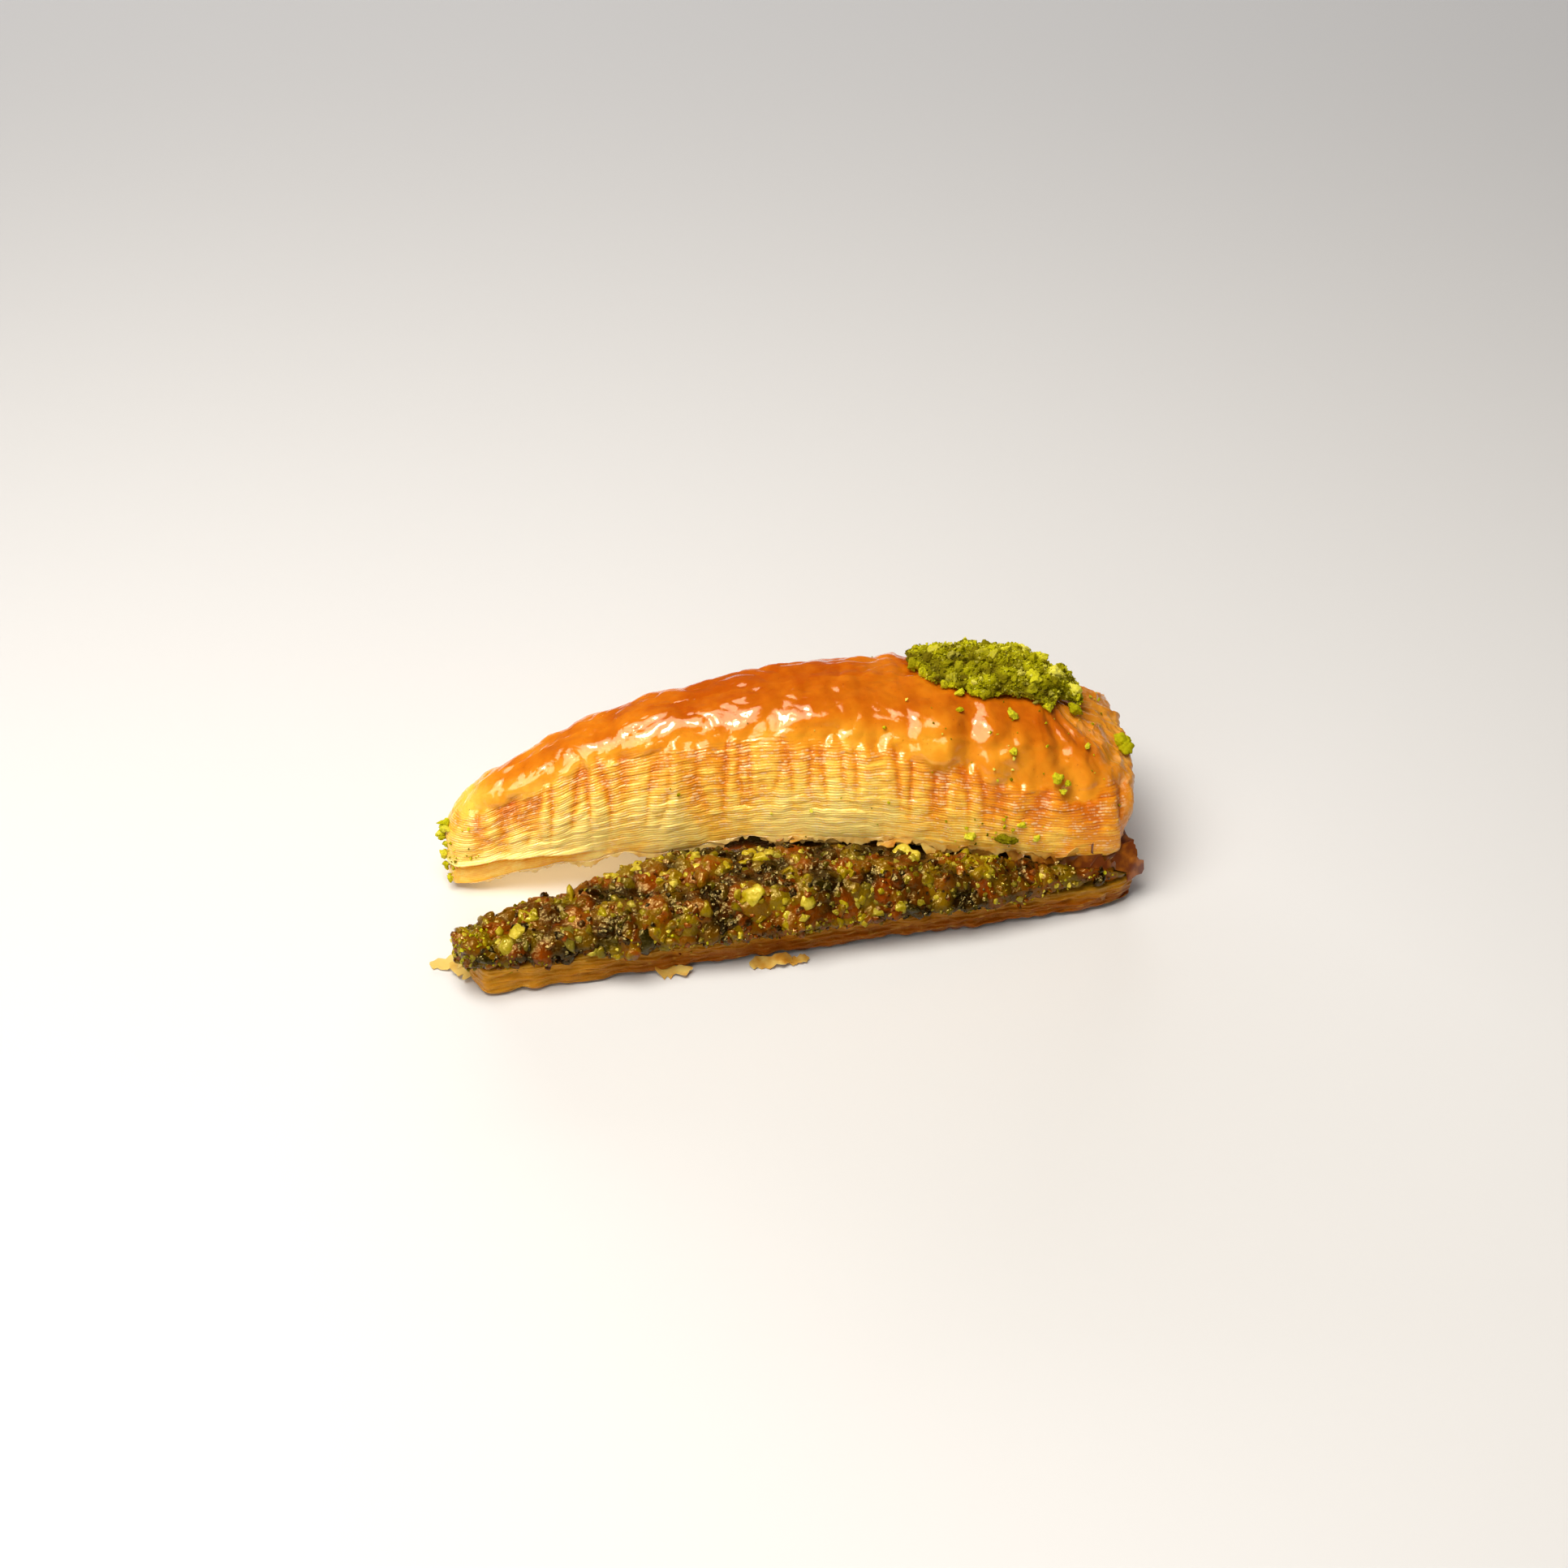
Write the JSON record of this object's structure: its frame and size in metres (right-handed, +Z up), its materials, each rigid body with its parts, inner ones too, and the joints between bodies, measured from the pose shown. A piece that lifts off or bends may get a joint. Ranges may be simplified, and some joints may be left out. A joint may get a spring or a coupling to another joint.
{
  "type": "pistachio baklava slice",
  "caption": "Long wedge of syrup-soaked baklava with a puffed leafy lid sprung open over a chopped pistachio filling and ground pistachio on top.",
  "frame": {"origin": "middle of the whole slice's footprint, on the surface it lies on", "axes": "+X along the base from its narrow tip to the wide rim, +Z up"},
  "size_m": [0.1766, 0.0804, 0.0543],
  "materials": {
    "soaked_pastry": "syrup-soaked pastry leaves, wet and glossy",
    "chopped_pistachio": "chopped pistachio wet with syrup",
    "baked_pastry": "golden buttered pastry leaves, glossy crust",
    "ground_pistachio": "dry ground pistachio"
  },
  "bodies": {
    "root": {"base_pastry": "soaked_pastry", "pistachio_filling": "chopped_pistachio", "top_pastry": "baked_pastry", "pistachio_powder": "ground_pistachio"}
  },
  "joints": []
}
